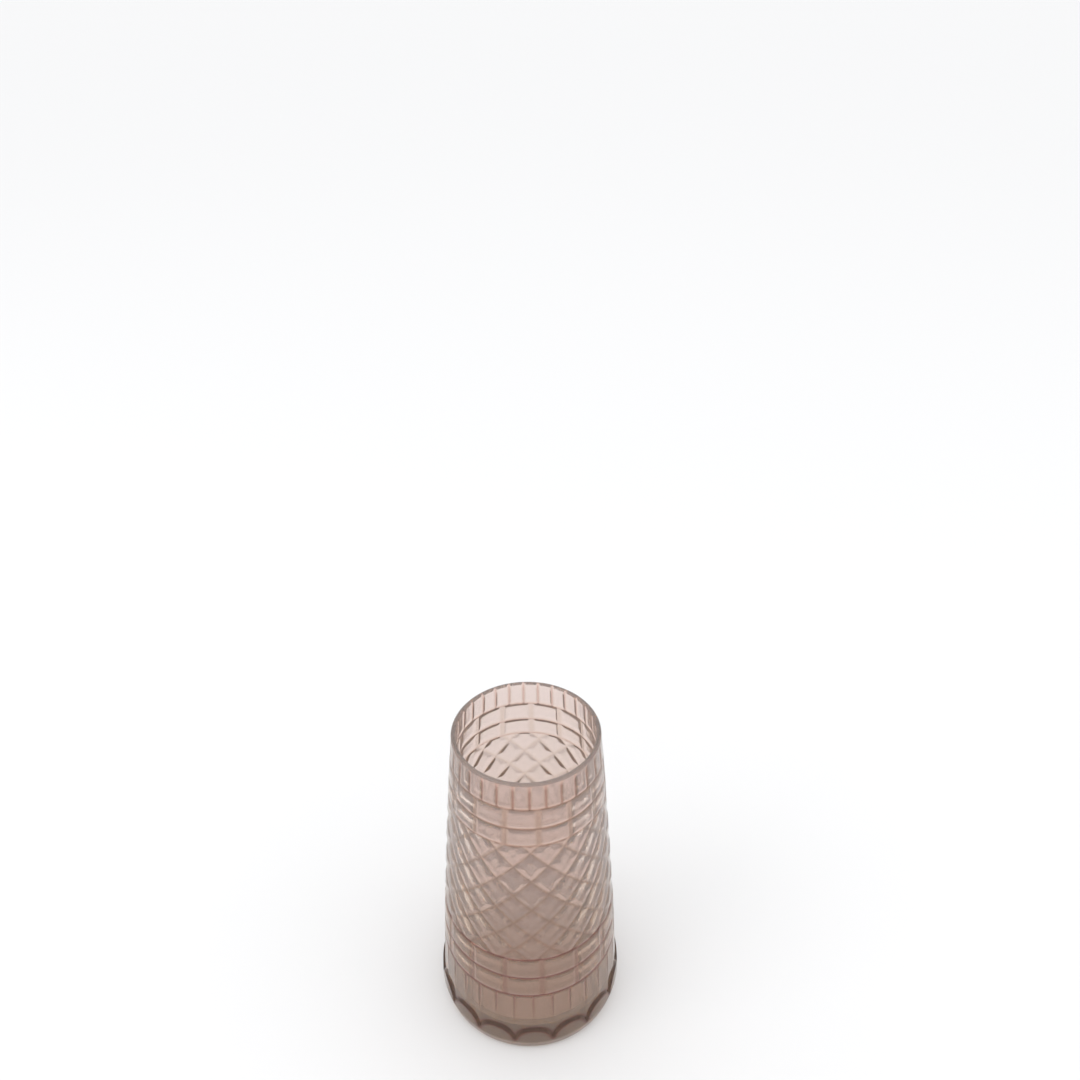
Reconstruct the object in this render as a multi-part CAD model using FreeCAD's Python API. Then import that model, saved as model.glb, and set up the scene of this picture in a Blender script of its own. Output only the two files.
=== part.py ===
"""A tapered glass vase, moulded in one piece, with pressed relief all round.

Frame: millimetres, +Z up. The origin is on the vase's axis in the plane that it stands on.
From the foot upwards the outside carries a ring of round-topped petals, a band of flutes,
two courses of bricks, a diamond lattice, two more courses of bricks and a band of flutes
under the lip. The inside is smooth.
"""

import FreeCAD, Part
import math
import os

Vector = FreeCAD.Vector
AXIS_POINT = Vector(0, 0, 0)
AXIS = Vector(0, 0, 1)

# The vase's overall size: the side runs through these three radii, with a slight outward bow.
HEIGHT = 200.0
SIDE_RADIUS_FOOT = 53.3
SIDE_RADIUS_MIDDLE = 47.7
SIDE_RADIUS_RIM = 39.3

# Foot and heel
FOOT_OUTER_RADIUS = 51.0
FOOT_INNER_RADIUS = 43.0
UNDERSIDE_RISE = 2.6
HEEL_TOP = 5.0
HEEL_TUCK = 0.5
HEEL_BULGE = 0.6

# Inside
FLOOR_HEIGHT = 12.0
FLOOR_CORNER_RADIUS = 12.0
WALL_AT_FLOOR = 4.6
WALL_AT_NECK = 3.3
MOUTH_RADIUS = 36.7
MOUTH_DEPTH = 10.0
NECK_BLEND = 12.0
LIP_RADIUS = (SIDE_RADIUS_RIM - MOUTH_RADIUS) / 2

# The pattern repeats this often round the vase, and starts this far round from -Y.
REPEATS = 15
PATTERN_START = 2.7
PITCH = 360.0 / REPEATS

# Petals
PETAL_THICKNESS = 1.15
CUSP_HEIGHT = 8.8
ARCH_HEIGHT = 18.3
ARCH_FLAT = 0.05

# Ring channels between the courses, and the joints between bricks
RINGS = (46.9, 61.5, 76.1, 160.0, 171.4, 183.9)
LATTICE_RINGS = (76.1, 160.0)
CHANNEL_WIDTH = 2.6
CHANNEL_FLOOR = 1.4
CHANNEL_DEPTH = 0.9
JOINT_WIDTH = 4.2
JOINT_FLOOR = 2.8
JOINT_DEPTH = 0.7
JOINT_OFFSET = 6.0

# Flutes
FLUTE_GROOVE_WIDTH = 1.8
FLUTE_GROOVE_FLOOR = 0.3
FLUTE_GROOVE_DEPTH = 0.5
FLUTE_START_OVER_ARCH = ARCH_HEIGHT + 2.0
FLUTE_START_OVER_CUSP = CUSP_HEIGHT + 5.0
FLUTE_TOP = 198.2

# Diamond lattice
DIAMOND_HALF_HEIGHT = 10.16
TOP_ROW_HEIGHT = 155.2
DIAMOND_ROWS = 9
LATTICE_DEPTH = 0.75
FACET_SHARE = 0.56
FACET_SINK = 0.25
BOSS_DEPTH = 2.3
GROOVE_SHARE = 0.96

# How far a cutter stands clear of the surface that it cuts
OVERCUT = 2.0

# The middle of a quarter circle, as a share of its radius
HALF_TURN = math.sqrt(0.5)


def side_radius(z):
    """The radius of the patterned side's highest surface at height z."""
    t = z / HEIGHT
    straight = SIDE_RADIUS_FOOT + (SIDE_RADIUS_RIM - SIDE_RADIUS_FOOT) * t
    bow = SIDE_RADIUS_MIDDLE - (SIDE_RADIUS_FOOT + SIDE_RADIUS_RIM) / 2
    return straight + 4 * bow * t * (1 - t)


def side_slope(z):
    """How much the side's radius grows per millimetre of height, which is negative."""
    return (side_radius(z + 1) - side_radius(z - 1)) / 2


def wall(z):
    """The wall's thickness at height z, between the floor and the neck."""
    share = z / (HEIGHT - MOUTH_DEPTH)
    return WALL_AT_FLOOR + (WALL_AT_NECK - WALL_AT_FLOOR) * share


def at(radius, z):
    """A point of a half section, in the XZ plane."""
    return Vector(radius, 0, z)


def line(start, end):
    return Part.LineSegment(start, end).toShape()


def arc(start, middle, end):
    return Part.Arc(start, middle, end).toShape()


def lines(points):
    return [line(a, b) for a, b in zip(points, points[1:])]


def turned(edges):
    """The solid of revolution of a closed half section."""
    face = Part.Face(Part.Wire(edges))
    return face.revolve(AXIS_POINT, AXIS, 360)


def around(shape, angle):
    """A copy of a shape that lies at -Y, turned round the axis by an angle in degrees."""
    copy = shape.copy()
    copy.rotate(AXIS_POINT, AXIS, angle)
    return copy


def repeated(shape, offset=0.0, times=REPEATS):
    """Copies of a shape that lies at -Y, evenly spaced from the pattern's start."""
    return [around(shape, PATTERN_START + offset + 360.0 * i / times) for i in range(times)]


def ring_section(z):
    """The half section's points across a channel that runs round the vase at height z."""
    half = CHANNEL_WIDTH / 2
    floor = CHANNEL_FLOOR / 2
    return [
        at(side_radius(z - half), z - half),
        at(side_radius(z - floor) - CHANNEL_DEPTH, z - floor),
        at(side_radius(z + floor) - CHANNEL_DEPTH, z + floor),
        at(side_radius(z + half), z + half),
    ]


def lattice_section():
    """The half section's points along the sunk ground that the diamonds stand on."""
    low, high = LATTICE_RINGS
    half = CHANNEL_WIDTH / 2
    floor = CHANNEL_FLOOR / 2
    return [
        at(side_radius(low - half), low - half),
        at(side_radius(low - floor) - LATTICE_DEPTH, low - floor),
        at(side_radius(high + floor) - LATTICE_DEPTH, high + floor),
        at(side_radius(high + half), high + half),
    ]


def petal_section():
    """The half section's points up the smooth petal layer, from the heel to its top."""
    return [
        at(side_radius(CUSP_HEIGHT) + PETAL_THICKNESS - HEEL_TUCK, HEEL_TOP),
        at(side_radius(CUSP_HEIGHT) + PETAL_THICKNESS, CUSP_HEIGHT),
        at(side_radius(ARCH_HEIGHT) + PETAL_THICKNESS, ARCH_HEIGHT),
        at(side_radius(ARCH_HEIGHT), ARCH_HEIGHT),
    ]


def blank():
    """The turned outside, solid right through, with its channels and the petal layer."""
    petals = petal_section()
    foot = at(FOOT_OUTER_RADIUS, 0)
    heel_middle = (foot + petals[0]) / 2 + at(HEEL_BULGE, -HEEL_BULGE)
    side = list(petals)
    for z in RINGS:
        if z == LATTICE_RINGS[0]:
            side += lattice_section()
        elif z != LATTICE_RINGS[1]:
            side += ring_section(z)
    side.append(at(side_radius(HEIGHT - LIP_RADIUS), HEIGHT - LIP_RADIUS))
    lip_centre = at(MOUTH_RADIUS + LIP_RADIUS, HEIGHT - LIP_RADIUS)
    outer_lip = lip_centre + at(HALF_TURN, HALF_TURN) * LIP_RADIUS
    top = lip_centre + at(0, LIP_RADIUS)
    edges = [line(AXIS_POINT, foot), arc(foot, heel_middle, petals[0])]
    edges += lines(side)
    edges.append(arc(side[-1], outer_lip, top))
    edges += lines([top, at(0, HEIGHT), AXIS_POINT])
    return turned(edges)


def cavity():
    """The smooth inside: floor, rounded corner, wall, neck and mouth, open at the lip."""
    corner_top = FLOOR_HEIGHT + FLOOR_CORNER_RADIUS
    wall_foot = at(side_radius(corner_top) - wall(corner_top), corner_top)
    corner_centre = wall_foot - at(FLOOR_CORNER_RADIUS, 0)
    corner_middle = corner_centre + at(HALF_TURN, -HALF_TURN) * FLOOR_CORNER_RADIUS
    floor_edge = corner_centre - at(0, FLOOR_CORNER_RADIUS)
    neck = HEIGHT - MOUTH_DEPTH - NECK_BLEND
    middle = (corner_top + neck) / 2
    wall_middle = at(side_radius(middle) - wall(middle), middle)
    wall_head = at(side_radius(neck) - wall(neck), neck)
    mouth_foot = at(MOUTH_RADIUS, HEIGHT - MOUTH_DEPTH)
    mouth_head = at(MOUTH_RADIUS, HEIGHT - LIP_RADIUS)
    lip_centre = mouth_head + at(LIP_RADIUS, 0)
    inner_lip = lip_centre + at(-HALF_TURN, HALF_TURN) * LIP_RADIUS
    top = lip_centre + at(0, LIP_RADIUS)
    above = top + at(0, OVERCUT)
    edges = [
        line(at(0, FLOOR_HEIGHT), floor_edge),
        arc(floor_edge, corner_middle, wall_foot),
        arc(wall_foot, wall_middle, wall_head),
        line(wall_head, mouth_foot),
        line(mouth_foot, mouth_head),
        arc(mouth_head, inner_lip, top),
    ]
    edges += lines([top, above, at(0, above.z), at(0, FLOOR_HEIGHT)])
    return turned(edges)


def underside():
    """The shallow dome that leaves the vase standing on a flat ring."""
    dome = at(0, UNDERSIDE_RISE)
    halfway = at(FOOT_INNER_RADIUS / 2, UNDERSIDE_RISE * 3 / 4)
    edge = at(FOOT_INNER_RADIUS, 0)
    below = [edge, at(FOOT_INNER_RADIUS, -OVERCUT), at(0, -OVERCUT), dome]
    return turned([arc(dome, halfway, edge)] + lines(below))


def section_at(z, half_outer, half_floor, depth):
    """A groove's cross section at height z at -Y: a trapezium that reaches outside the glass."""
    surface = -side_radius(z)
    rise = OVERCUT / depth
    outer = half_outer + (half_outer - half_floor) * rise
    corners = [
        Vector(-outer, surface - OVERCUT, z),
        Vector(-half_floor, surface + depth, z),
        Vector(half_floor, surface + depth, z),
        Vector(outer, surface - OVERCUT, z),
    ]
    return Part.makePolygon(corners + corners[:1])


def groove(low, high, width, floor, depth):
    """A cutter for a groove that runs up the side at -Y, between two heights."""
    ends = [section_at(z, width / 2, floor / 2, depth) for z in (low, high)]
    return Part.makeLoft(ends, True, True)


def flute_grooves():
    """The lines between flutes: two to a repeat, in the lower band and under the lip."""
    sizes = (FLUTE_GROOVE_WIDTH, FLUTE_GROOVE_FLOOR, FLUTE_GROOVE_DEPTH)
    over_arch = groove(FLUTE_START_OVER_ARCH, RINGS[0], *sizes)
    over_cusp = groove(FLUTE_START_OVER_CUSP, RINGS[0], *sizes)
    upper = groove(RINGS[-1], FLUTE_TOP, *sizes)
    lower = repeated(over_arch) + repeated(over_cusp, PITCH / 2)
    return lower + repeated(upper, times=2 * REPEATS)


def brick_joints():
    """The upright joints between bricks, in two courses low down and two high up."""
    cutters = []
    for low, high in (RINGS[0:2], RINGS[1:3], RINGS[3:5], RINGS[4:6]):
        joint = groove(low, high, JOINT_WIDTH, JOINT_FLOOR, JOINT_DEPTH)
        cutters += repeated(joint, JOINT_OFFSET)
    return cutters


def arch_gaps():
    """What is cut from the petal layer above the cusps, so that round-topped petals stay."""
    half = side_radius(CUSP_HEIGHT) * math.sin(math.radians(PITCH / 2))
    rise = ARCH_HEIGHT + ARCH_FLAT - CUSP_HEIGHT
    radius = (half * half + rise * rise) / (2 * rise)
    drop = rise - radius
    top = ARCH_HEIGHT + OVERCUT
    near = -side_radius(HEIGHT)

    def arch_point(side, angle):
        """A point of the petal's arch on one side, measured from the gap's middle."""
        across = half - radius * math.cos(angle)
        return Vector(side * across, near, CUSP_HEIGHT + drop + radius * math.sin(angle))

    low_angle = math.asin(-drop / radius)
    crown = math.acos(math.sqrt(2 * radius * ARCH_FLAT) / radius)
    cusp = Vector(0, near, CUSP_HEIGHT)
    right = arch_point(1, crown)
    left = arch_point(-1, crown)
    edges = [
        arc(cusp, arch_point(1, (low_angle + crown) / 2), right),
        line(right, Vector(right.x, near, top)),
        line(Vector(right.x, near, top), Vector(left.x, near, top)),
        line(Vector(left.x, near, top), left),
        arc(left, arch_point(-1, (low_angle + crown) / 2), cusp),
    ]
    gap = Part.Face(Part.Wire(edges)).extrude(Vector(0, -2 * SIDE_RADIUS_FOOT, 0))
    return repeated(gap, PITCH / 2)


def petal_layer():
    """A shell as thick as the petals stand proud, over the height of their arches."""
    low = CUSP_HEIGHT - OVERCUT
    high = ARCH_HEIGHT + OVERCUT / 2
    outside = SIDE_RADIUS_FOOT + PETAL_THICKNESS + OVERCUT
    corners = [
        at(side_radius(low), low),
        at(outside, low),
        at(outside, high),
        at(side_radius(high), high),
    ]
    return turned(lines(corners + corners[:1]))


def on_tangent(z, across, up, proud):
    """A point measured in the plane that touches the side at -Y at height z."""
    tilt = math.atan(side_slope(z))
    along = Vector(0, -math.sin(tilt), math.cos(tilt))
    outward = Vector(0, -math.cos(tilt), -math.sin(tilt))
    centre = Vector(0, -side_radius(z), z)
    return centre + Vector(across, 0, 0) + along * up + outward * proud


def diamond(z):
    """One diamond of the lattice at -Y: a low pyramid with a flat diamond facet on top."""
    half_width = side_radius(z) * math.sin(math.radians(PITCH / 2))

    def outline(share, proud):
        across = half_width * share
        up = DIAMOND_HALF_HEIGHT * share
        corners = [(across, 0), (0, up), (-across, 0), (0, -up)]
        points = [on_tangent(z, x, y, proud) for x, y in corners]
        return Part.makePolygon(points + points[:1])

    ends = [outline(GROOVE_SHARE, -BOSS_DEPTH), outline(FACET_SHARE, -FACET_SINK)]
    return Part.makeLoft(ends, True, True)


def lattice():
    """Every diamond, with the top and bottom rows cut off where the lattice ends."""
    low, high = LATTICE_RINGS
    bosses = []
    for row in range(DIAMOND_ROWS):
        offset = PITCH / 2 if row % 2 == 0 else 0
        bosses += repeated(diamond(TOP_ROW_HEIGHT - row * DIAMOND_HALF_HEIGHT), offset)
    margin = CHANNEL_WIDTH / 2
    depth = high - low - 2 * margin
    band = Part.makeCylinder(SIDE_RADIUS_FOOT + OVERCUT, depth, Vector(0, 0, low + margin))
    return [boss.common(band) for boss in bosses]


def glass_body():
    """The whole vase."""
    body = blank()
    gaps = petal_layer().common(Part.makeCompound(arch_gaps()))
    body = body.cut(gaps.Solids)
    body = body.cut(flute_grooves() + brick_joints())
    body = body.fuse(lattice())
    return body.cut([cavity(), underside()])


os.makedirs("parts", exist_ok=True)
vase = glass_body().Solids[0]
vase.exportStep("parts/glass_body.step")
size = vase.BoundBox
print("glass_body", "valid", vase.isValid(), "volume cm3", round(vase.Volume / 1000, 1))
print("size mm", round(size.XLength, 2), round(size.YLength, 2), round(size.ZLength, 2))
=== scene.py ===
import math

import bpy
import numpy as np
from mathutils import Matrix, Vector, noise
from mathutils.geometry import delaunay_2d_cdt


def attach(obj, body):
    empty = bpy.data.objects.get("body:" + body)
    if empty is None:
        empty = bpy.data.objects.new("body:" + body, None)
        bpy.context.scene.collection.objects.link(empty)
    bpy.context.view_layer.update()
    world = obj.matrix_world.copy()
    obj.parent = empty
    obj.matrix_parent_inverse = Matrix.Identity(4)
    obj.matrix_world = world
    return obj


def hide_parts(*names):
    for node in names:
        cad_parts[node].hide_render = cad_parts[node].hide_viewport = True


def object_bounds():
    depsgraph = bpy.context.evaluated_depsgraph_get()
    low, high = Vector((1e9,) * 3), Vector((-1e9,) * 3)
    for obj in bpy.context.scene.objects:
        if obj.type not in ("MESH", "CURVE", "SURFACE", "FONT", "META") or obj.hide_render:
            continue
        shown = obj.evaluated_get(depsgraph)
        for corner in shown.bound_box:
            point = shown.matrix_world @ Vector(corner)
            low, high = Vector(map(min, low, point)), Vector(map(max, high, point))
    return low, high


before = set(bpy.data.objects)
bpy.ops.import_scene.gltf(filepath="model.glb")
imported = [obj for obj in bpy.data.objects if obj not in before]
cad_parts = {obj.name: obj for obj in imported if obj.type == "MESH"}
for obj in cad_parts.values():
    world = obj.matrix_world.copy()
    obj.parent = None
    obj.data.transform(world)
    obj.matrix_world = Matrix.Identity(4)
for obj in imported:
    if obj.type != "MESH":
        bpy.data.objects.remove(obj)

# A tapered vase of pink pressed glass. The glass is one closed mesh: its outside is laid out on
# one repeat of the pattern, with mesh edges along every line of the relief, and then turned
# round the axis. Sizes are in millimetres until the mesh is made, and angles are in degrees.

CAD_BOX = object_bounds()
MM = 0.001

# The side's curve
HEIGHT = CAD_BOX[1][2] / MM
SIDE_RADIUS_FOOT = 53.3
SIDE_RADIUS_MIDDLE = 47.7
SIDE_RADIUS_RIM = 39.3

# Foot, inside and lip
FOOT_OUTER_RADIUS = 51.0
FOOT_INNER_RADIUS = 43.0
UNDERSIDE_RISE = 2.6
HEEL_TOP = 5.0
FLOOR_HEIGHT = 12.0
FLOOR_CORNER_RADIUS = 12.0
WALL_AT_FLOOR = 4.6
WALL_AT_NECK = 3.3
MOUTH_RADIUS = 36.7
MOUTH_DEPTH = 10.0
NECK_BLEND = 12.0
LIP_RADIUS = (SIDE_RADIUS_RIM - MOUTH_RADIUS) / 2

# The pattern's layout
REPEATS = 15
PATTERN_START = 2.7
PITCH = 360.0 / REPEATS
HALF_PITCH = PITCH / 2
JOINT_ANGLE = HALF_PITCH + 6.0
RINGS = (46.9, 61.5, 76.1, 160.0, 171.4, 183.9)
LATTICE = (76.1, 160.0)
DIAMOND_HALF_HEIGHT = 10.16
DIAMOND_CENTRE = 155.2
CUSP_HEIGHT = 8.8
ARCH_HEIGHT = 18.35
PETALS_APART_HEIGHT = CUSP_HEIGHT + 0.6

# The relief's sections: depths, half widths at the bottom, slopes and roundings
PETAL_THICKNESS = 1.1
PETAL_AT_HEEL = 0.36
PETAL_EDGE = 0.8
RING_GROOVE = {"depth": 0.5, "floor": 0.1, "slope": 0.32, "rounding": 0.4}
JOINT_GROOVE = {"depth": 0.45, "floor": 1.0, "slope": 0.36, "rounding": 0.4}
LOW_FLUTE_GROOVE = {"depth": 0.4, "floor": 0.0, "slope": 0.45, "rounding": 0.35}
HIGH_FLUTE_GROOVE = {"depth": 0.55, "floor": 0.0, "slope": 0.4, "rounding": 0.4}
DIAMOND_GROOVE = {"depth": 0.75, "floor": 0.0, "slope": 0.2, "rounding": 0.45}
FACET_SINK = 0.2
EDGE_ROUNDING = 0.22
LOW_FLUTE_FADE = 0.03
HIGH_FLUTE_FADE = 0.5
FLUTE_TOP = 197.6
FLUTE_OVER_ARCH = ARCH_HEIGHT + 20.0
FLUTE_OVER_CUSP = CUSP_HEIGHT + 27.0
FLAT_TOP = HEIGHT - 2.0
FLAT_FADE = 3.0

# How strongly shade is painted into the glass's colour along the relief's lines and the petals'
# arches, how widely, and how the painted shade deepens towards the foot
LOW_RING_SHADE = 0.45
HIGH_RING_SHADE = 0.35
RING_SHADE_WIDTH = 0.8
JOINT_SHADE = 0.22
JOINT_SHADE_WIDTH = 1.3
LOW_FLUTE_SHADE = 0.25
HIGH_FLUTE_SHADE = 0.4
FLUTE_SHADE_WIDTH = 0.8
DIAMOND_SHADE = 0.15
DIAMOND_SHADE_WIDTH = 0.8
ARCH_SHADE = 1.0
ARCH_SHADE_WIDTH = 1.3
BASE_SHADE = 0.18
BASE_SHADE_TOP = 150.0
BASE_SHADE_RISE = 100.0

# How unevenly the glass has set
OUTSIDE_WAVE = 0.05
INSIDE_WAVE = 0.06
WAVE_LENGTH = 17.0
FINE_WAVE_SHARE = 0.4
FINE_WAVE_SCALE = 2.3
CALM_RADIUS = 10.0


def side_radius(z):
    """The radius of the patterned side's highest surface at height z."""
    t = z / HEIGHT
    straight = SIDE_RADIUS_FOOT + (SIDE_RADIUS_RIM - SIDE_RADIUS_FOOT) * t
    bow = SIDE_RADIUS_MIDDLE - (SIDE_RADIUS_FOOT + SIDE_RADIUS_RIM) / 2
    return straight + 4 * bow * t * (1 - t)


def wall(z):
    """The wall's thickness at height z, between the floor and the neck."""
    share = z / (HEIGHT - MOUTH_DEPTH)
    return WALL_AT_FLOOR + (WALL_AT_NECK - WALL_AT_FLOOR) * share


def smooth(t):
    """0 below 0, 1 above 1 and an S curve between."""
    t = np.clip(t, 0.0, 1.0)
    return t * t * (3 - 2 * t)


def lower_of(a, b, rounding=EDGE_ROUNDING):
    """The lower of two surfaces, with the edge where they cross rounded."""
    share = np.clip(0.5 + 0.5 * (b - a) / rounding, 0.0, 1.0)
    return b + (a - b) * share - rounding * share * (1 - share)


def groove(distance, depth, floor, slope, rounding):
    """A groove's surface at a distance from its middle line: a floor and two rising sides."""
    out = np.maximum(np.abs(distance) - floor, 0.0)
    return slope * (np.sqrt(out * out + rounding * rounding) - rounding) - depth


def from_nearest(angle, spacing, start=0.0):
    """The angle to the nearest of a set of evenly spaced lines."""
    return (angle - start + spacing / 2) % spacing - spacing / 2


def arch_circle():
    """The circle that tops a petal, as its centre's height and its radius."""
    half = side_radius(CUSP_HEIGHT) * math.sin(math.radians(HALF_PITCH))
    rise = ARCH_HEIGHT - CUSP_HEIGHT
    radius = (half * half + rise * rise) / (2 * rise)
    return ARCH_HEIGHT - radius, radius


def above_arch(angle, z):
    """How far a point lies outside the arches that top the petals, in millimetres."""
    centre, radius = arch_circle()
    across = side_radius(z) * np.sin(np.radians(from_nearest(angle, PITCH, HALF_PITCH)))
    outside = np.hypot(across, np.maximum(z - centre, 0.0)) - radius
    return outside - np.maximum(PETALS_APART_HEIGHT - z, 0.0)


def petal_height(z):
    """How proud the petal layer stands of the side's curve, easing off to the heel."""
    below = np.maximum(CUSP_HEIGHT - z, 0.0) / (CUSP_HEIGHT - HEEL_TOP)
    return PETAL_THICKNESS - (PETAL_THICKNESS - PETAL_AT_HEEL) * below * below


def flutes(angle, z):
    """Flat panels with a groove between each two, two panels to a repeat."""
    radius = side_radius(z)
    off = np.radians(from_nearest(angle, HALF_PITCH, HALF_PITCH / 2))
    flat = radius * (math.cos(math.radians(HALF_PITCH / 2)) / np.cos(off) - 1)
    flat = flat * smooth((FLAT_TOP - z) / FLAT_FADE)
    across = radius * np.radians(from_nearest(angle, HALF_PITCH))
    over_arch = np.abs(from_nearest(angle, PITCH, HALF_PITCH)) < HALF_PITCH / 2
    start = np.where(over_arch, FLUTE_OVER_ARCH, FLUTE_OVER_CUSP)
    low = groove(across, **LOW_FLUTE_GROOVE) + LOW_FLUTE_FADE * np.maximum(start - z, 0.0)
    high = groove(across, **HIGH_FLUTE_GROOVE) + HIGH_FLUTE_FADE * np.maximum(z - FLUTE_TOP, 0.0)
    return lower_of(flat, np.where(z < RINGS[0], low, high))


def bricks(angle, z):
    """A course of bricks, which follow the side's curve, with upright joints between."""
    across = side_radius(z) * np.radians(from_nearest(angle, PITCH, JOINT_ANGLE))
    return lower_of(np.zeros_like(across), groove(across, **JOINT_GROOVE))


def slants(angle, z):
    """A point's place across each family of the lattice's grooves, which lie at odd numbers."""
    turn = angle / HALF_PITCH
    climb = (z - DIAMOND_CENTRE) / DIAMOND_HALF_HEIGHT
    return (turn + climb, turn - climb)


def slant_span(radius):
    """How much a slant changes in one millimetre straight across its grooves."""
    return np.hypot(1 / (radius * math.radians(HALF_PITCH)), 1 / DIAMOND_HALF_HEIGHT)


def diamonds(angle, z):
    """The lattice: flat facets between two families of slanting grooves."""
    radius = side_radius(z)
    span = slant_span(radius)
    cells = []
    sides = []
    for slant in slants(angle, z):
        cell = np.round(slant / 2)
        distance = (1 - np.abs(slant - 2 * cell)) / span
        cells.append(cell)
        sides.append(groove(distance, **DIAMOND_GROOVE))
    off = np.radians(angle - (cells[0] + cells[1]) * HALF_PITCH)
    facet = radius * (1 / np.cos(off) - 1) - FACET_SINK
    return lower_of(lower_of(sides[0], sides[1]), facet)


def relief(angle, z):
    """How far the outside stands out from the side's curve."""
    in_lattice = (z > LATTICE[0]) & (z < LATTICE[1])
    in_flutes = (z < RINGS[0]) | (z > RINGS[-1])
    surface = np.where(in_flutes, flutes(angle, z), bricks(angle, z))
    surface = np.where(in_lattice, diamonds(angle, z), surface)
    for ring in RINGS:
        surface = lower_of(surface, groove(z - ring, **RING_GROOVE))
    cover = smooth(0.5 - above_arch(angle, z) / (2 * PETAL_EDGE))
    return surface * (1 - cover) + petal_height(z) * cover


def line_shade(distance, width):
    """How strong the painted shade along a line is, at a distance from it: 1 on the line."""
    return np.exp(-((distance / width) ** 2))


def painted_shade(angle, z):
    """How much shade is painted at a point of the outside, from 0 to 1."""
    radius = side_radius(z)
    in_lattice = (z > LATTICE[0]) & (z < LATTICE[1])
    in_low_flutes = z < RINGS[0]
    in_high_flutes = z > RINGS[-1]
    in_flutes = in_low_flutes | in_high_flutes
    from_flute = radius * np.radians(from_nearest(angle, HALF_PITCH))
    from_joint = radius * np.radians(from_nearest(angle, PITCH, JOINT_ANGLE))
    flute = line_shade(from_flute, FLUTE_SHADE_WIDTH)
    joint = line_shade(from_joint, JOINT_SHADE_WIDTH)
    low_flute = LOW_FLUTE_SHADE * smooth((z - ARCH_HEIGHT) / (RINGS[0] - ARCH_HEIGHT))
    # Painted shade along the flutes' grooves, the joints and the lattice's grooves, then along the
    # rings
    tint_and_shade = np.where(in_high_flutes, HIGH_FLUTE_SHADE * flute, 0.0)
    tint_and_shade = np.where(in_low_flutes, low_flute * flute, tint_and_shade)
    tint_and_shade = np.where(in_flutes | in_lattice, tint_and_shade, JOINT_SHADE * joint)
    for slant in slants(angle, z):
        distance = (1 - np.abs(slant - 2 * np.round(slant / 2))) / slant_span(radius)
        diamond = DIAMOND_SHADE * line_shade(distance, DIAMOND_SHADE_WIDTH)
        tint_and_shade = np.where(in_lattice, np.maximum(tint_and_shade, diamond), tint_and_shade)
    for ring in RINGS:
        strength = LOW_RING_SHADE if ring <= LATTICE[0] else HIGH_RING_SHADE
        tint_and_shade = np.maximum(tint_and_shade, strength * line_shade(z - ring, RING_SHADE_WIDTH))
    # The petals' arches get the darkest painted shade, nearly black
    arch = ARCH_SHADE * line_shade(above_arch(angle, z), ARCH_SHADE_WIDTH)
    in_petals = z < ARCH_HEIGHT + 2 * ARCH_SHADE_WIDTH
    tint_and_shade = np.where(in_petals, np.maximum(tint_and_shade, arch), tint_and_shade)
    # Painted shade that deepens towards the foot, standing in for the shadowed floor seen through
    # the glass
    base = BASE_SHADE * smooth((BASE_SHADE_TOP - z) / BASE_SHADE_RISE)
    return np.minimum(tint_and_shade + base, 1.0)


def wave(x, y, z, amount):
    """A slow unevenness of the surface, in millimetres, at each point of three arrays."""
    points = np.stack([x, y, z], axis=-1) / WAVE_LENGTH
    coarse = [noise.noise(p) for p in map(Vector, points)]
    fine = [noise.noise(p * FINE_WAVE_SCALE) for p in map(Vector, points)]
    return amount * (np.array(coarse) + FINE_WAVE_SHARE * np.array(fine))


# ---- one repeat of the outside, laid out flat ----

LOW_EDGE = HEEL_TOP
HIGH_EDGE = HEIGHT - LIP_RADIUS
FLAT_SCALE = 0.85
RING_STEPS = (0.0, 0.35, 0.7, 1.05, 1.4, 1.8, 2.2)
FLUTE_STEPS = (0.0, 0.3, 0.6, 0.85, 1.1, 1.5)
JOINT_STEPS = (0.9, 1.35, 1.7, 2.0, 2.3, 2.8)
DIAMOND_STEPS = (0.0, 0.4, 0.9, 1.7, 2.5, 3.1, 3.7, 5.0, 7.0)
ARCH_STEPS = (-2.4, -1.6, -1.1, -0.7, -0.35, 0.0, 0.35, 0.7, 1.1, 1.6, 2.4)
ARCH_TURNS = range(0, 181, 6)
FILL_ANGLE = 2.4
FILL_HEIGHT = 3.6
FLUTES_FROM = ARCH_HEIGHT + 1.5
CUSP_FLUTES_FROM = CUSP_HEIGHT + 3.5
FLUTES_TO = HIGH_EDGE - 0.4
ARCHES_FROM = CUSP_HEIGHT - 1.0


def level(z):
    """A mesh line right across the repeat."""
    return ((0.0, z), (PITCH, z))


def upright(angle, low, high):
    """A mesh line up the repeat."""
    return ((angle, low), (angle, high))


def both_sides(steps):
    """The steps to the left and to the right of a line, and the line itself."""
    return sorted({-s for s in steps} | set(steps))


def filled(low, high, spacing):
    """Evenly spaced values from low to high, both included."""
    count = max(1, round((high - low) / spacing))
    return [low + (high - low) * i / count for i in range(count + 1)]


def upright_lines(angles, steps, low, high):
    """Upright mesh lines at some steps, in millimetres, either side of some angles."""
    to_degrees = math.degrees(1 / side_radius((low + high) / 2))
    found = []
    for angle in angles:
        for step in both_sides(steps):
            place = angle + step * to_degrees
            if 0 <= place <= PITCH:
                found.append(upright(place, low, high))
    return found


def band_lines(low, high):
    """The level lines that fill a band, and the uprights that keep it round."""
    found = [level(z) for z in filled(low, high, FILL_HEIGHT)]
    return found + [upright(a, low, high) for a in filled(0.0, PITCH, FILL_ANGLE)]


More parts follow.
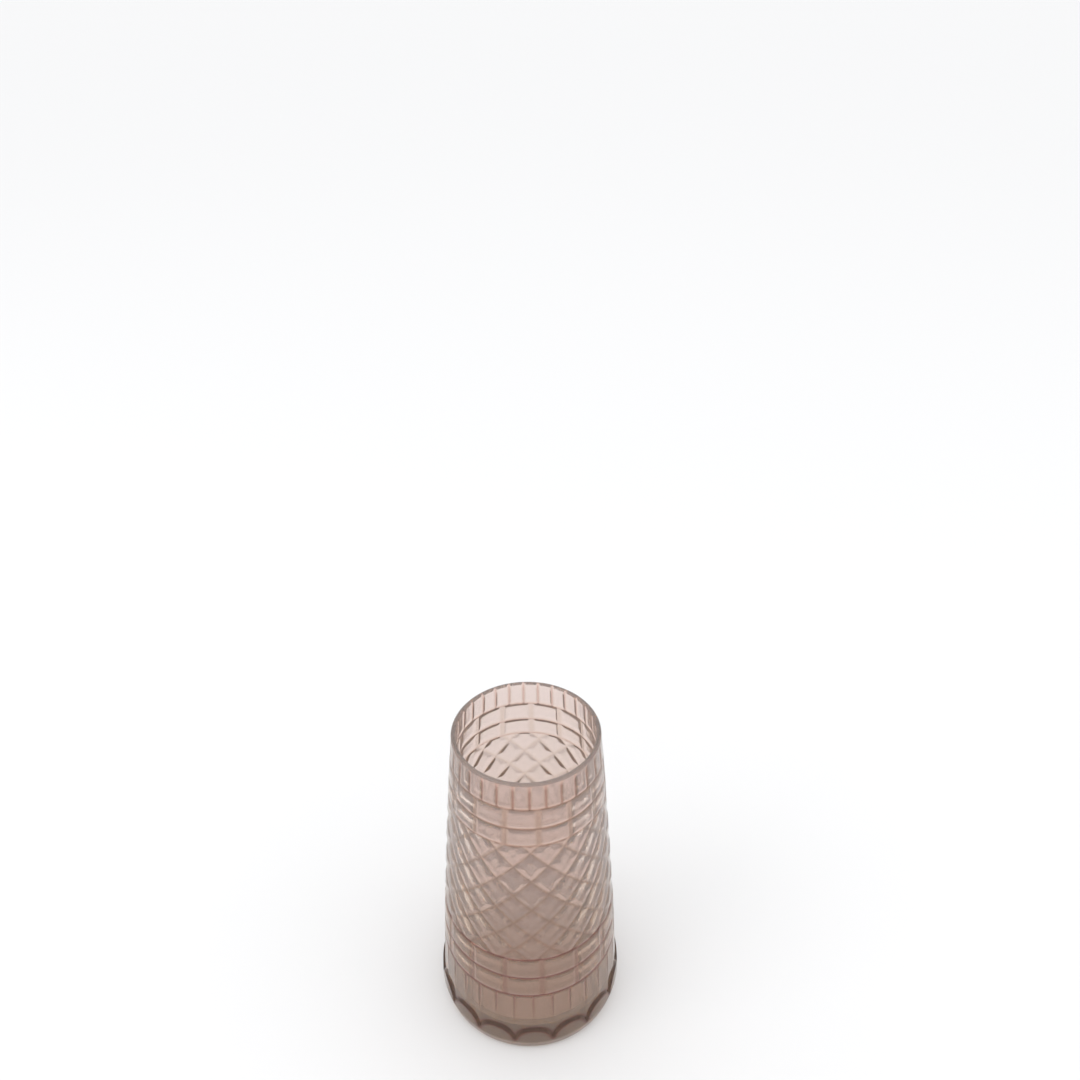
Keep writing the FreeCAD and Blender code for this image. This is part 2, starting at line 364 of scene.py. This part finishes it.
def slanting_lines(low, high):
    """Mesh lines along and beside the lattice's grooves, cut off at the lattice's edges."""
    span = slant_span(side_radius((low + high) / 2))
    reach = int((high - low) / DIAMOND_HALF_HEIGHT) + 4
    found = []
    for groove_line in range(-reach, reach + 1):
        for step in both_sides(DIAMOND_STEPS[:-1]) + [DIAMOND_STEPS[-1]]:
            slant = 2 * groove_line + 1 + step * span
            for way in (1, -1):
                found.append(slanting_line(slant, way, low, high))
    return [segment for segment in found if segment]


def slanting_line(slant, way, low, high):
    """The stretch within the repeat and the lattice of turn + way * climb = slant."""
    def height(angle):
        return DIAMOND_CENTRE + way * (slant - angle / HALF_PITCH) * DIAMOND_HALF_HEIGHT

    def angle_at(z):
        return HALF_PITCH * (slant - way * (z - DIAMOND_CENTRE) / DIAMOND_HALF_HEIGHT)

    ends = [(a, height(a)) for a in (0.0, PITCH) if low <= height(a) <= high]
    ends += [(angle_at(z), z) for z in (low, high) if 0.0 < angle_at(z) < PITCH]
    return tuple(ends[:2]) if len(ends) >= 2 else None


def arch_lines():
    """Mesh lines along and beside the arch that tops a petal."""
    centre, radius = arch_circle()
    to_degrees = math.degrees(1 / side_radius(CUSP_HEIGHT))
    found = []
    for step in ARCH_STEPS:
        points = []
        for turn in ARCH_TURNS:
            across = -(radius + step) * math.cos(math.radians(turn)) * to_degrees
            place = (HALF_PITCH + across, centre + (radius + step) * math.sin(math.radians(turn)))
            if 0.0 < place[0] < PITCH and place[1] > ARCHES_FROM:
                points.append(place)
        found += list(zip(points, points[1:]))
    return found


def mesh_lines():
    """Every line, as pairs of (angle, height), that the outside's mesh follows."""
    found = []
    low, high = LATTICE
    edge = RING_STEPS[-1]
    for ring in RINGS:
        found += [level(ring + step) for step in both_sides(RING_STEPS)]
    flute_angles = (0.0, HALF_PITCH, PITCH)
    found += upright_lines(flute_angles, FLUTE_STEPS, FLUTES_FROM, RINGS[0])
    found += upright_lines((0.0, PITCH), FLUTE_STEPS, CUSP_FLUTES_FROM, FLUTES_FROM)
    found += upright_lines(flute_angles, FLUTE_STEPS, RINGS[-1], FLUTES_TO)
    found += upright_lines((JOINT_ANGLE,), JOINT_STEPS, RINGS[0], low + edge)
    found += upright_lines((JOINT_ANGLE,), JOINT_STEPS, high - edge, RINGS[-1])
    found += band_lines(LOW_EDGE, RINGS[0])
    found += band_lines(RINGS[0], RINGS[1])
    found += band_lines(RINGS[1], low + edge)
    found += band_lines(high - edge, RINGS[4])
    found += band_lines(RINGS[4], RINGS[5])
    found += band_lines(RINGS[5], HIGH_EDGE)
    found += slanting_lines(low + edge, high - edge)
    found += arch_lines()
    return found


def one_repeat():
    """The triangulated repeat: angles, heights and triangles."""
    points = []
    edges = []
    for start, end in mesh_lines():
        edges.append((len(points), len(points) + 1))
        points += [Vector((start[0] * FLAT_SCALE, start[1])), Vector((end[0] * FLAT_SCALE, end[1]))]
    made, _, faces, *_ = delaunay_2d_cdt(points, edges, [], 0, 1e-4)
    flat = np.array([tuple(p) for p in made])
    return flat[:, 0] / FLAT_SCALE, flat[:, 1], faces


# ---- the whole outside ----

JOIN_TOLERANCE = 1e-3
SLOPE_STEP = 0.02


def outside_layout():
    """The outside's points as (angles, heights) and its triangles, all round the vase."""
    angles, heights, faces = one_repeat()
    by_height = np.argsort(heights)
    left = [i for i in by_height if angles[i] < JOIN_TOLERANCE]
    right = [i for i in by_height if angles[i] > PITCH - JOIN_TOLERANCE]
    kept = np.setdiff1d(np.arange(len(angles)), right)
    rank = {old: new for new, old in enumerate(kept)}
    partner = dict(zip(right, left))
    all_angles = np.concatenate([angles[kept] + PITCH * k for k in range(REPEATS)])
    all_heights = np.tile(heights[kept], REPEATS)
    all_faces = []
    for k in range(REPEATS):
        index = {old: k * len(kept) + new for old, new in rank.items()}
        after = (k + 1) % REPEATS * len(kept)
        index.update({old: after + rank[other] for old, other in partner.items()})
        all_faces += [tuple(index[i] for i in face) for face in faces]
    return all_angles, all_heights, all_faces


def outside_point(angle, z):
    """The outside's points, as an array of x, y and z, with the glass's unevenness."""
    turn = np.radians(angle - HALF_PITCH + PATTERN_START)
    radius = side_radius(z) + relief(angle, z)
    radius = radius + wave(radius * np.sin(turn), radius * np.cos(turn), z, OUTSIDE_WAVE)
    return np.stack([radius * np.sin(turn), -radius * np.cos(turn), z], axis=-1)


def outside_normals(angle, z):
    """The outside's exact normals, from its slope each way."""
    step = math.degrees(SLOPE_STEP / SIDE_RADIUS_MIDDLE)
    along = outside_point(angle + step, z) - outside_point(angle - step, z)
    up = outside_point(angle, z + SLOPE_STEP) - outside_point(angle, z - SLOPE_STEP)
    normals = np.cross(along, up)
    return normals / np.linalg.norm(normals, axis=1)[:, None]


# ---- the turned surfaces: lip, inside, heel and underside ----

LIP_TURNS = range(15, 181, 15)
CORNER_TURNS = range(10, 91, 10)
INSIDE_SPACING = 4.0
FLOOR_SPACING = 4.5
FOOT_RING_SPACING = 1.5
UNDERSIDE_SPACING = 3.5
HEEL_POINTS = 10
HEEL_TOP_PULL = (-0.6, -3.0)
HEEL_BOTTOM_PULL = 1.3


def curve_points(start, start_pull, end_pull, end, count):
    """Points after the start of a Bezier curve, as (radius, height)."""
    points = []
    for i in range(1, count + 1):
        t = i / count
        weights = ((1 - t) ** 3, 3 * t * (1 - t) ** 2, 3 * t * t * (1 - t), t ** 3)
        ends = (start, start_pull, end_pull, end)
        points.append(tuple(sum(w * p[axis] for w, p in zip(weights, ends)) for axis in (0, 1)))
    return points


def inside_radius(z):
    """The cavity's radius: an even wall that eases into the straight mouth."""
    natural = side_radius(z) - wall(z)
    share = float(smooth((z - (HEIGHT - MOUTH_DEPTH - NECK_BLEND)) / NECK_BLEND))
    return natural + (MOUTH_RADIUS - natural) * share


def lip_and_inside():
    """From the outside's top edge over the lip and down the inside to its middle."""
    outer = side_radius(HIGH_EDGE) - MOUTH_RADIUS - LIP_RADIUS
    points = []
    for turn in LIP_TURNS:
        reach = outer if turn < 90 else LIP_RADIUS
        across = reach * math.cos(math.radians(turn))
        height = HIGH_EDGE + LIP_RADIUS * math.sin(math.radians(turn))
        points.append((MOUTH_RADIUS + LIP_RADIUS + across, height))
    corner_top = FLOOR_HEIGHT + FLOOR_CORNER_RADIUS
    for z in filled(HIGH_EDGE, corner_top, INSIDE_SPACING)[1:]:
        points.append((inside_radius(z), z))
    centre = points[-1][0] - FLOOR_CORNER_RADIUS
    for turn in CORNER_TURNS:
        across = FLOOR_CORNER_RADIUS * math.cos(math.radians(turn))
        drop = FLOOR_CORNER_RADIUS * math.sin(math.radians(turn))
        points.append((centre + across, corner_top - drop))
    for radius in filled(centre, 0.0, FLOOR_SPACING)[1:-1]:
        points.append((radius, FLOOR_HEIGHT))
    return points


def heel_and_underside():
    """From the outside's bottom edge round the heel, over the foot ring to the middle."""
    top = (side_radius(LOW_EDGE) + float(petal_height(LOW_EDGE)), LOW_EDGE)
    pull = (top[0] + HEEL_TOP_PULL[0], top[1] + HEEL_TOP_PULL[1])
    bottom = (FOOT_OUTER_RADIUS, 0.0)
    bottom_pull = (FOOT_OUTER_RADIUS + HEEL_BOTTOM_PULL, 0.0)
    points = curve_points(top, pull, bottom_pull, bottom, HEEL_POINTS)
    ring = filled(FOOT_OUTER_RADIUS, FOOT_INNER_RADIUS + 1.0, FOOT_RING_SPACING)[1:]
    points += [(radius, 0.0) for radius in ring]
    for radius in filled(FOOT_INNER_RADIUS, 0.0, UNDERSIDE_SPACING)[:-1]:
        points.append((radius, UNDERSIDE_RISE * (1 - (radius / FOOT_INNER_RADIUS) ** 2)))
    return points


def turned_rows(angles, profile, amount):
    """The points of a profile turned through the given angles, row after row, and its middle."""
    turn = np.radians(angles - HALF_PITCH + PATTERN_START)
    rows = []
    for radius, z in profile:
        x = radius * np.sin(turn)
        y = -radius * np.cos(turn)
        height = np.full_like(x, z)
        off = wave(x, y, height, amount * min(1.0, radius / CALM_RADIUS))
        share = (radius + off) / radius
        rows.append(np.stack([x * share, y * share, height], axis=-1))
    return rows


def add_turned(points, faces, edge, angles, profile, middle, amount, outward):
    """Adds rows of points from an edge of the mesh to a middle point, and their faces."""
    before = list(edge)
    count = len(before)
    for row in turned_rows(angles, profile, amount):
        base = sum(len(p) for p in points)
        points.append(row)
        now = list(range(base, base + count))
        for i in range(count):
            j = (i + 1) % count
            face = (before[i], before[j], now[j], now[i])
            faces.append(face if outward else face[::-1])
        before = now
    base = sum(len(p) for p in points)
    points.append(np.array([middle]))
    for i in range(count):
        face = (before[i], before[(i + 1) % count], base)
        faces.append(face if outward else face[::-1])


def glass_mesh():
    """The whole vase as one closed mesh."""
    angles, heights, faces = outside_layout()
    points = [outside_point(angles, heights)]
    normals = outside_normals(angles, heights)
    edges = []
    for z in (HIGH_EDGE, LOW_EDGE):
        edge = np.flatnonzero(np.abs(heights - z) < JOIN_TOLERANCE)
        edges.append(edge[np.argsort(angles[edge])])
    top, bottom = edges
    inside = (lip_and_inside(), (0, 0, FLOOR_HEIGHT), INSIDE_WAVE, True)
    underside = (heel_and_underside(), (0, 0, UNDERSIDE_RISE), 0.0, False)
    add_turned(points, faces, top, angles[top], *inside)
    add_turned(points, faces, bottom, angles[bottom], *underside)
    mesh = bpy.data.meshes.new("vase_glass")
    mesh.from_pydata((np.concatenate(points) * MM).tolist(), [], faces)
    mesh.validate()
    mesh.shade_smooth()
    # The outside's points carry the painted shade; the lip, inside and underside carry none
    tint_and_shade = mesh.attributes.new("painted_shade", "FLOAT", "POINT")
    amounts = np.zeros(len(mesh.vertices))
    amounts[: len(normals)] = painted_shade(angles, heights)
    tint_and_shade.data.foreach_set("value", amounts)
    vertex_normals = np.array([tuple(v.normal) for v in mesh.vertices])
    vertex_normals[: len(normals)] = normals
    mesh.normals_split_custom_set_from_vertices(vertex_normals.tolist())
    return mesh


# ---- materials ----


def new_material(name):
    """A material, its nodes, its links and its shader."""
    material = bpy.data.materials.new(name)
    material.use_nodes = True
    nodes = material.node_tree.nodes
    return material, nodes, material.node_tree.links, nodes["Principled BSDF"]


def pink_glass():
    """Pink glass: a little hazy, unevenly polished, and darker where shade is painted along its
    relief and towards its foot.
    """
    material, nodes, links, shader = new_material("pink_glass")
    amount = nodes.new("ShaderNodeAttribute")
    amount.attribute_name = "painted_shade"
    # The ramp runs from the glass's own pale pink into painted shade: pale brown, deep red, and
    # near black at the arches
    colour = nodes.new("ShaderNodeValToRGB")
    colour.color_ramp.elements[0].color = (0.94, 0.825, 0.81, 1)
    colour.color_ramp.elements[1].color = (0.12, 0.062, 0.038, 1)
    pale = colour.color_ramp.elements.new(0.2)
    pale.color = (0.73, 0.55, 0.44, 1)
    middle = colour.color_ramp.elements.new(0.5)
    middle.color = (0.50, 0.185, 0.18, 1)
    links.new(amount.outputs["Fac"], colour.inputs["Fac"])
    links.new(colour.outputs["Color"], shader.inputs["Base Color"])
    shader.inputs["Transmission Weight"].default_value = 0.87
    shader.inputs["IOR"].default_value = 1.46
    place = nodes.new("ShaderNodeTexCoord")
    patches = nodes.new("ShaderNodeTexNoise")
    patches.inputs["Scale"].default_value = 60.0
    patches.inputs["Detail"].default_value = 3.0
    links.new(place.outputs["Object"], patches.inputs["Vector"])
    gloss = nodes.new("ShaderNodeMapRange")
    gloss.inputs["From Min"].default_value = 0.3
    gloss.inputs["From Max"].default_value = 0.7
    gloss.inputs["To Min"].default_value = 0.07
    gloss.inputs["To Max"].default_value = 0.13
    links.new(patches.outputs["Fac"], gloss.inputs["Value"])
    links.new(gloss.outputs["Result"], shader.inputs["Roughness"])
    tint_and_shade = nodes.new("ShaderNodeVolumeAbsorption")
    tint_and_shade.inputs["Color"].default_value = (0.59, 0.45, 0.09, 1.0)
    tint_and_shade.inputs["Density"].default_value = 32.0
    links.new(tint_and_shade.outputs["Volume"], nodes["Material Output"].inputs["Volume"])
    return material


def pale_floor():
    """A matt floor, nearly white."""
    material, _, _, shader = new_material("floor")
    shader.inputs["Base Color"].default_value = (0.80, 0.803, 0.81, 1)
    shader.inputs["Roughness"].default_value = 0.9
    return material


# ---- the vase ----

vase = bpy.data.objects.new("vase_glass", glass_mesh())
bpy.context.scene.collection.objects.link(vase)
vase.data.materials.append(pink_glass())
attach(vase, "root")
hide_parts("glass_body")

# ---- floor, light and camera ----

FLOOR_GAP = 0.0003

bpy.ops.mesh.primitive_plane_add(size=60.0)
floor = bpy.context.object
floor.name = "floor"
floor.location.z = -FLOOR_GAP
floor.data.materials.append(pale_floor())


def soft_light(name, place, size, power):
    """A square soft box that points at the vase's middle."""
    light = bpy.data.lights.new(name, "AREA")
    light.shape = "SQUARE"
    light.size = size
    light.energy = power
    lamp = bpy.data.objects.new(name, light)
    lamp.location = place
    aim = Vector((0, 0, HEIGHT * MM / 2)) - lamp.location
    lamp.rotation_euler = aim.to_track_quat("-Z", "Y").to_euler()
    bpy.context.scene.collection.objects.link(lamp)


soft_light("key", (-1.2, -0.6, 1.5), 1.0, 5.0)
soft_light("fill", (1.4, -0.4, 1.1), 1.2, 2.0)


def studio_world():
    """A pale room that is brighter overhead than at the horizon."""
    world = bpy.data.worlds.new("studio")
    bpy.context.scene.world = world
    world.use_nodes = True
    nodes = world.node_tree.nodes
    links = world.node_tree.links
    place = nodes.new("ShaderNodeTexCoord")
    split = nodes.new("ShaderNodeSeparateXYZ")
    ramp = nodes.new("ShaderNodeValToRGB")
    ramp.color_ramp.elements[0].position = 0.0
    ramp.color_ramp.elements[0].color = (0.85, 0.85, 0.85, 1)
    ramp.color_ramp.elements[1].position = 0.7
    ramp.color_ramp.elements[1].color = (1.0, 1.0, 1.0, 1)
    links.new(place.outputs["Generated"], split.inputs["Vector"])
    links.new(split.outputs["Z"], ramp.inputs["Fac"])
    links.new(ramp.outputs["Color"], nodes["Background"].inputs["Color"])
    nodes["Background"].inputs["Strength"].default_value = 1.19


studio_world()

# The camera looks down on the vase from in front, off to its right by a little.
CAMERA_PITCH = 32.15
CAMERA_ROLL = -0.43
CAMERA_PLACE = Vector((0.0403, -1.947, 2.809)) * HEIGHT * MM
LENS = 33.33
LIGHT_BOUNCES = 32

camera = bpy.data.cameras.new("camera")
camera.lens = LENS
camera.sensor_width = 36.0
camera_object = bpy.data.objects.new("camera", camera)
turned = Matrix.Rotation(math.radians(90.0 - CAMERA_PITCH), 4, "X")
turned = turned @ Matrix.Rotation(math.radians(CAMERA_ROLL), 4, "Z")
camera_object.matrix_world = Matrix.Translation(CAMERA_PLACE) @ turned
bpy.context.scene.collection.objects.link(camera_object)
bpy.context.scene.camera = camera_object
bpy.context.scene.view_settings.view_transform = "Standard"

# Thick glass passes light on inside itself many times before it lets it out.
bpy.context.scene.cycles.max_bounces = LIGHT_BOUNCES
bpy.context.scene.cycles.glossy_bounces = LIGHT_BOUNCES
bpy.context.scene.cycles.transmission_bounces = LIGHT_BOUNCES
